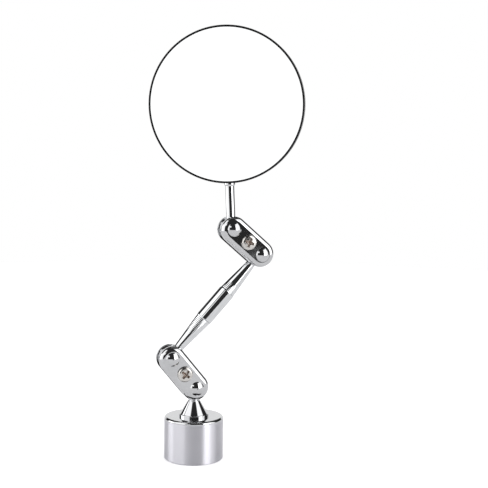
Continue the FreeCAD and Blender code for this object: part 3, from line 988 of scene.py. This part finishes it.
@dataclass
class SpindleArm:
    """Turned arm: a plain barrel between two long cones that carry fine tool rings, and its balls."""

    tip_reach: float = 7.45 * MM
    tip_radius: float = 2.55 * MM
    shoulder_radius: float = 4.425 * MM
    barrel_radius: float = 4.625 * MM
    barrel_length: float = 18.8 * MM
    groove_width: float = 0.4 * MM
    groove_depth: float = 0.25 * MM
    hole_radius: float = 1.54 * MM
    hole_depth: float = 6.5 * MM
    ring_pitch: float = 0.85 * MM
    ring_depth: float = 0.14 * MM
    lower_ring_reach: float = 11.0 * MM
    upper_ring_reach: float = 5.5 * MM
    ring_fade: float = 0.7
    around: int = 96
    cone_rings: int = 190
    barrel_rings: int = 24
    hole_rings: int = 6

    def build(self, model: PackedModel, effects: Effects, chrome: Material) -> None:
        """Dress the balls and build the spindle.

        Args:
            model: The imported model.
            effects: The shared groups.
            chrome: Finish of the balls.
        """
        model.dress(chrome, "arm_lower_ball", "arm_upper_ball")
        lower, along = model.joint("arm_spin")
        upper = model.joint("upper_clamp_swing")[0]
        axis = PieceAxis.from_direction(lower, along, Y_AXIS)
        finish = PolishedChrome("spindle_chrome", (0.8, 0.81, 0.82), (0.73, 0.74, 0.75),
                                ring_depth=0.35e-6, rings_a_metre=2400.0)
        rod = self.build_rod(axis, float(np.linalg.norm(upper - lower)))
        finish_piece(rod, "arm", finish.build(effects, axis), "arm_rod")

    def rings_on(self, from_barrel: np.ndarray, reach: float) -> np.ndarray:
        """Depth of the tool rings at distances from the barrel.

        Each ring is a rounded groove, ring_depth times the square of a sine of the distance over
        the pitch, and the rings fade out over their reach.

        Args:
            from_barrel: Distances from the barrel's end.
            reach: Where the rings have faded out.

        Returns:
            The depth to take off the radius.
        """
        fade = np.clip(1.0 - from_barrel / reach, 0.0, 1.0) ** self.ring_fade
        return self.ring_depth * fade * np.sin(np.pi * from_barrel / self.ring_pitch) ** 2

    def build_rod(self, axis: PieceAxis, spacing: float) -> bpy.types.Object:
        """Spindle as one closed lathe surface from the floor of one pin hole to that of the other.

        Args:
            axis: The arm's frame, with its zero at the lower ball's centre.
            spacing: Distance between the balls' centres.

        Returns:
            The spindle.
        """
        start = self.tip_reach
        end = spacing - start
        barrel = ((spacing - self.barrel_length) / 2, (spacing + self.barrel_length) / 2)
        lower = np.linspace(start, barrel[0] - self.groove_width, self.cone_rings)
        upper = np.linspace(barrel[1] + self.groove_width, end, self.cone_rings)
        slope = (self.shoulder_radius - self.tip_radius) / (lower[-1] - start)
        lower_radius = self.tip_radius + slope * (lower - start)
        upper_radius = self.tip_radius + slope * (end - upper)
        lower_radius -= self.rings_on(lower[-1] - lower, self.lower_ring_reach)
        upper_radius -= self.rings_on(upper - upper[0], self.upper_ring_reach)
        floor = [self.shoulder_radius - self.groove_depth]
        hole = np.linspace(self.hole_depth, 0.0, self.hole_rings)
        bore = np.full(self.hole_rings, self.hole_radius)
        height = np.concatenate([
            [start + self.hole_depth], start + hole, lower, [barrel[0] - self.groove_width / 2],
            np.linspace(*barrel, self.barrel_rings), [barrel[1] + self.groove_width / 2], upper,
            end - hole[::-1],
        ])
        radius = np.concatenate([
            [self.hole_radius / 2], bore, lower_radius, floor,
            np.full(self.barrel_rings, self.barrel_radius), floor, upper_radius, bore,
        ])
        turn = steps(0.0, 2 * np.pi, self.around)[None, :]
        grid = np.stack([
            radius[:, None] * np.cos(turn), radius[:, None] * np.sin(turn),
            height[:, None] + np.zeros_like(turn),
        ], axis=-1).reshape(-1, 3)
        poles = np.array([(start + self.hole_depth) * Z_AXIS, (end - self.hole_depth) * Z_AXIS])
        points = axis.place(np.concatenate([grid, poles]))
        return mesh_object("turned_spindle", points, lathe_faces(radius.size, self.around), Shaping.TURNED)


@dataclass
class MirrorHead:
    """Stem, collar, pan painted near-black as a dark reflection, foam pad and silvered glass."""

    pad: MattePiece = MattePiece(
        "black_foam", (0.01, 0.01, 0.01), (0.03, 0.03, 0.03),
        roughness=0.9, grains_a_metre=1800.0, grain_depth=2e-5)

    def build(self, model: PackedModel, effects: Effects, chrome: Material) -> None:
        """Dress the mirror's pieces.

        Args:
            model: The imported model.
            effects: The shared groups.
            chrome: Finish of the ball, stem and collar.
        """
        model.dress(chrome, "stem_ball", "mirror_stem", "stem_collar")
        # the frame is painted near-black as the dark reflection of its rim
        model.dress(PaintedDarkReflection().build(effects), "mirror_frame")
        model.dress(self.pad.build(), "mirror_pad")
        model.dress(SilveredGlass().build(effects), "mirror_glass")


# ---- studio and camera


@dataclass(frozen=True)
class SoftPanel:
    """Soft-edged bright card far away: its middle and half size in degrees, and its radiance."""

    azimuth: float
    azimuth_half: float
    elevation: float
    elevation_half: float
    radiance: float
    azimuth_soft: float = 3.0
    elevation_soft: float = 3.0


@dataclass(frozen=True)
class Camera:
    """Where the camera stands, and its lens."""

    azimuth: float = -18.05
    elevation: float = 5.59
    roll: float = 0.83
    distance: float = 583.5 * MM
    aim_sideways: float = 25.918 * MM
    aim_height: float = 116.902 * MM
    lens: float = 80.45
    sensor: float = 36.0
    nearest: float = 0.01

    def axes(self) -> tuple[Vector, Vector, Vector]:
        """The camera's directions before its roll.

        Returns:
            Unit vectors: right, toward the camera, and up.
        """
        around, rise = math.radians(self.azimuth), math.radians(self.elevation)
        right = Vector((math.cos(around), math.sin(around), 0.0))
        level = math.cos(rise)
        toward = Vector((math.sin(around) * level, -math.cos(around) * level, math.sin(rise)))
        return right, toward, toward.cross(right)

    def build(self) -> None:
        """Put the camera in the scene and make it the one that is used."""
        level, toward, upright = self.axes()
        tilt = math.radians(self.roll)
        right = level * math.cos(tilt) + upright * math.sin(tilt)
        up = toward.cross(right)
        aim = right * self.aim_sideways + Vector((0.0, 0.0, self.aim_height))
        data = bpy.data.cameras.new("camera")
        data.lens = self.lens
        data.sensor_width = self.sensor
        data.clip_start = self.nearest
        camera = bpy.data.objects.new("camera", data)
        bpy.context.scene.collection.objects.link(camera)
        turned = Matrix((right, up, toward)).transposed()
        camera.matrix_world = Matrix.Translation(aim + toward * self.distance) @ turned.to_4x4()
        bpy.context.scene.camera = camera
        LOG.info("camera stands %.0f mm away", self.distance / MM)


@dataclass(frozen=True)
class Studio:
    """White table and a dark room with soft white panels, as the plating shows them."""

    floor_radius: float = 0.93
    floor_color: Color = (0.8, 0.8, 0.81)
    floor_lift: float = 0.42
    floor_drop: float = 0.02 * MM
    floor_sides: int = 128
    room: float = 0.03
    dull_light: float = 0.9
    mirrored: float = 1.15
    backdrop: float = 1.0
    panels: tuple[SoftPanel, ...] = (
        SoftPanel(68.0, 25.0, 18.0, 32.0, 1.5, 5.0),
        SoftPanel(56.0, 13.0, 8.0, 24.0, 2.4),
        SoftPanel(-61.0, 30.0, 24.0, 38.0, 1.4, 5.0),
        SoftPanel(-99.0, 13.0, 6.0, 20.0, 2.6),
        SoftPanel(-21.0, 9.0, 27.0, 7.0, 1.4),
        SoftPanel(165.0, 25.0, 9.0, 12.0, 0.9),
        SoftPanel(-165.0, 25.0, 9.0, 12.0, 0.9),
        SoftPanel(140.0, 45.0, -9.0, 6.0, 0.45),
        SoftPanel(-140.0, 45.0, -9.0, 6.0, 0.45),
    )

    def build(self, camera: Camera) -> None:
        """Build the room's light and the table."""
        self.build_room(camera)
        self.build_table()

    def panel_light(self, sketch: NodeSketch, azimuth: Socket, elevation: Socket) -> Socket:
        """Radiance of the room by direction: the room's own plus each panel's inside its soft edges.

        Args:
            sketch: The world's tree.
            azimuth: Angle round from the camera's side, in degrees.
            elevation: Angle above the horizon, in degrees.

        Returns:
            The radiance.
        """
        total: object = self.room
        for panel in self.panels:
            share: object = panel.radiance
            for angle, middle, half, soft in (
                (azimuth, panel.azimuth, panel.azimuth_half, panel.azimuth_soft),
                (elevation, panel.elevation, panel.elevation_half, panel.elevation_soft),
            ):
                off = sketch.math("ABSOLUTE", sketch.math("SUBTRACT", angle, middle))
                inside = sketch.ramp(off, half - soft, half + soft, 1.0, 0.0)
                share = sketch.math("MULTIPLY", inside, share)
            total = sketch.math("ADD", share, total)
        return total

    def build_room(self, camera: Camera) -> None:
        """World with the panels in gloss, even light for dull surfaces and plain white to look at.

        Perfectly sharp reflections, which only the mirror glass has, see plain white too.

        Args:
            camera: The camera that the panels' azimuths are counted from.
        """
        world = bpy.data.worlds.new("studio")
        world.use_nodes = True
        bpy.context.scene.world = world
        sketch = NodeSketch(world.node_tree)
        world.node_tree.nodes.clear()
        right, _, _ = camera.axes()
        direction = sketch.add("ShaderNodeTexCoord").outputs["Generated"]
        ahead = sketch.dot(direction, (right.y, -right.x, 0.0))
        aside = sketch.dot(direction, tuple(right))
        above = sketch.dot(direction, tuple(Z_AXIS))
        azimuth = sketch.math("DEGREES", sketch.math("ARCTAN2", aside, ahead))
        elevation = sketch.math("DEGREES", sketch.math("ARCSINE", above))
        shown = self.lamp(sketch, self.panel_light(sketch, azimuth, elevation))
        path = sketch.add("ShaderNodeLightPath").outputs
        for ray, strength in (
            ("Is Diffuse Ray", self.dull_light),
            ("Is Singular Ray", self.mirrored),
            ("Is Camera Ray", self.backdrop),
        ):
            shown = self.switch(sketch, path[ray], shown, self.lamp(sketch, strength))
        output = sketch.add("ShaderNodeOutputWorld")
        sketch.feed(output.inputs["Surface"], shown)

    @staticmethod
    def lamp(sketch: NodeSketch, strength: object) -> Socket:
        """White light from every direction.

        Args:
            sketch: The world's tree.
            strength: Its radiance, as a socket or a number.

        Returns:
            The light's shader.
        """
        node = sketch.add("ShaderNodeBackground")
        return sketch.fill(node, Color=(1.0, 1.0, 1.0, 1.0), Strength=strength).outputs[0]

    @staticmethod
    def switch(sketch: NodeSketch, chooser: Socket, usual: Socket, chosen: Socket) -> Socket:
        """One shader where the chooser is 1 and the usual one elsewhere.

        Args:
            sketch: The tree.
            chooser: A value of 0 or 1.
            usual: Shader where it is 0.
            chosen: Shader where it is 1.

        Returns:
            The resulting shader.
        """
        node = sketch.add("ShaderNodeMixShader")
        sketch.feed(node.inputs[0], chooser)
        sketch.feed(node.inputs[1], usual)
        sketch.feed(node.inputs[2], chosen)
        return node.outputs[0]

    def build_table(self) -> None:
        """Round white table top under the base, a little below its foot."""
        turn = steps(0.0, 2 * np.pi, self.floor_sides)
        rim = np.stack([np.cos(turn), np.sin(turn), 0 * turn], axis=-1) * self.floor_radius
        rim[:, 2] = -self.floor_drop
        table = mesh_object("table_top", rim, [list(range(turn.size))], Shaping.TURNED)
        material = bpy.data.materials.new("white_table")
        material.use_nodes = True
        sketch = NodeSketch(material.node_tree)
        material.node_tree.nodes.clear()
        diffuse = sketch.add("ShaderNodeBsdfDiffuse")
        sketch.feed(diffuse.inputs["Color"], (*self.floor_color, 1.0))
        shown = sketch.add("ShaderNodeLightPath").outputs["Is Camera Ray"]
        glow = sketch.add("ShaderNodeEmission")
        sketch.feed(glow.inputs["Strength"], sketch.math("MULTIPLY", shown, self.floor_lift))
        both = sketch.add("ShaderNodeAddShader")
        sketch.feed(both.inputs[0], diffuse.outputs[0])
        sketch.feed(both.inputs[1], glow.outputs[0])
        output = sketch.add("ShaderNodeOutputMaterial")
        sketch.feed(output.inputs["Surface"], both.outputs[0])
        table.data.materials.append(material)
        LOG.info("table top laid")


def main() -> None:
    """Build the finishes, the pieces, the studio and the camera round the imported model."""
    logging.basicConfig(level=logging.INFO, format="%(message)s")
    model = PackedModel(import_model())
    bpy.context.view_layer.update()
    effects = Effects()
    chrome = PolishedChrome().build(effects)
    zinc = BrightZinc().build(effects)
    MagneticBase().build(model, effects, zinc)
    BallClamp("lower", screw_turn=12.0).build(model, chrome, zinc)
    SpindleArm().build(model, effects, chrome)
    BallClamp("upper", screw_turn=20.0).build(model, chrome, zinc)
    MirrorHead().build(model, effects, chrome)
    camera = Camera()
    camera.build()
    Studio().build(camera)
    bpy.context.scene.view_settings.view_transform = "Standard"


if __name__ == "__main__":
    main()
